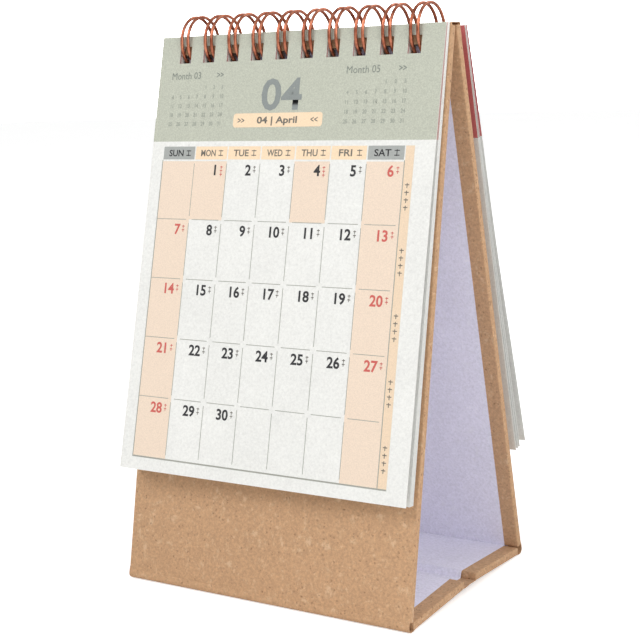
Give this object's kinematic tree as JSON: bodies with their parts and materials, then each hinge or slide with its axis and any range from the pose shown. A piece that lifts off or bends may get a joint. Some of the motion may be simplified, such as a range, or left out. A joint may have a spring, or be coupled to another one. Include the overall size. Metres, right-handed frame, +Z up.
{
  "type": "flip desk calendar",
  "caption": "Free-standing desk calendar: a folding kraft board tent with a twin-loop wire along the top that carries turning month sheets.",
  "frame": {"origin": "on the table, under the middle of the box round the whole object", "axes": "+Z up, +Y from the front sheet to the back of the stand, +X to the right of someone reading the calendar"},
  "size_m": [0.095, 0.0756, 0.1635],
  "materials": {
    "greyboard": "matte",
    "kraft_paper": "matte",
    "liner_paper": "matte",
    "sheet_paper": "matte",
    "copper_wire": "coated"
  },
  "bodies": {
    "front_panel": {"board_front": "greyboard", "kraft_front": "kraft_paper", "liner_front": "liner_paper", "kraft_fold_front": "kraft_paper", "liner_fold_front": "liner_paper", "kraft_fold_top": "kraft_paper", "wire_binding": "copper_wire", "sheet_may": "sheet_paper", "sheet_june": "sheet_paper", "sheet_july": "sheet_paper", "sheet_august": "sheet_paper", "sheet_september": "sheet_paper", "sheet_october": "sheet_paper", "sheet_november": "sheet_paper", "sheet_december": "sheet_paper"},
    "base_front": {"board_base_front": "greyboard", "kraft_base_front": "kraft_paper", "liner_base_front": "liner_paper", "kraft_crease": "kraft_paper", "liner_crease": "liner_paper"},
    "base_rear": {"board_base_rear": "greyboard", "kraft_base_rear": "kraft_paper", "liner_base_rear": "liner_paper"},
    "rear_panel": {"board_rear": "greyboard", "kraft_rear": "kraft_paper", "liner_rear": "liner_paper", "kraft_fold_rear": "kraft_paper", "liner_fold_rear": "liner_paper", "sheet_cover": "sheet_paper", "sheet_january": "sheet_paper", "sheet_february": "sheet_paper"},
    "april_pivot": {"april_pivot_strips": "sheet_paper"},
    "april_sheet": {"sheet_april": "sheet_paper"},
    "march_pivot": {"march_pivot_strips": "sheet_paper"},
    "march_sheet": {"sheet_march": "sheet_paper"}
  },
  "joints": [
    {"name": "fold_front", "type": "hinge", "parent": "front_panel", "child": "base_front", "pos_m": [0, -0.03481, 0.00245], "axis": [1, 0, 0], "range_deg": [0, 69.28], "deforming": ["kraft_fold_front", "liner_fold_front"]},
    {"name": "crease_fold", "type": "hinge", "parent": "base_front", "child": "base_rear", "pos_m": [0, -0.00159, 0.0018], "axis": [-1, 0, 0], "range_deg": [0, 164.93], "deforming": ["kraft_crease", "liner_crease"]},
    {"name": "fold_rear", "type": "hinge", "parent": "base_rear", "child": "rear_panel", "pos_m": [0, 0.03026, 0.00245], "axis": [1, 0, 0], "range_deg": [0, 75.26], "deforming": ["kraft_fold_rear", "liner_fold_rear", "kraft_fold_top"]},
    {"name": "april_turn", "type": "hinge", "parent": "front_panel", "child": "april_pivot", "pos_m": [0, 0.00011, 0.1554], "axis": [-1, 0, 0], "range_deg": [0, 218.46]},
    {"name": "april_swing", "type": "hinge", "parent": "april_pivot", "child": "april_sheet", "pos_m": [0, -0.0071, 0.15298], "axis": [-1, 0, 0], "range_deg": [0, 111.64]},
    {"name": "march_turn", "type": "hinge", "parent": "rear_panel", "child": "march_pivot", "pos_m": [0, 0.00011, 0.1554], "axis": [1, 0, 0], "range_deg": [0, 216.79]},
    {"name": "march_swing", "type": "hinge", "parent": "march_pivot", "child": "march_sheet", "pos_m": [0, 0.00693, 0.15204], "axis": [1, 0, 0], "range_deg": [0, 113.01]}
  ],
  "couplings": [
    {"joint": "fold_front", "follows": "crease_fold", "ratio": 0.42004},
    {"joint": "fold_rear", "follows": "crease_fold", "ratio": 0.45627},
    {"joint": "april_swing", "follows": "april_turn", "ratio": 0.51101},
    {"joint": "march_swing", "follows": "march_turn", "ratio": 0.52128}
  ]
}
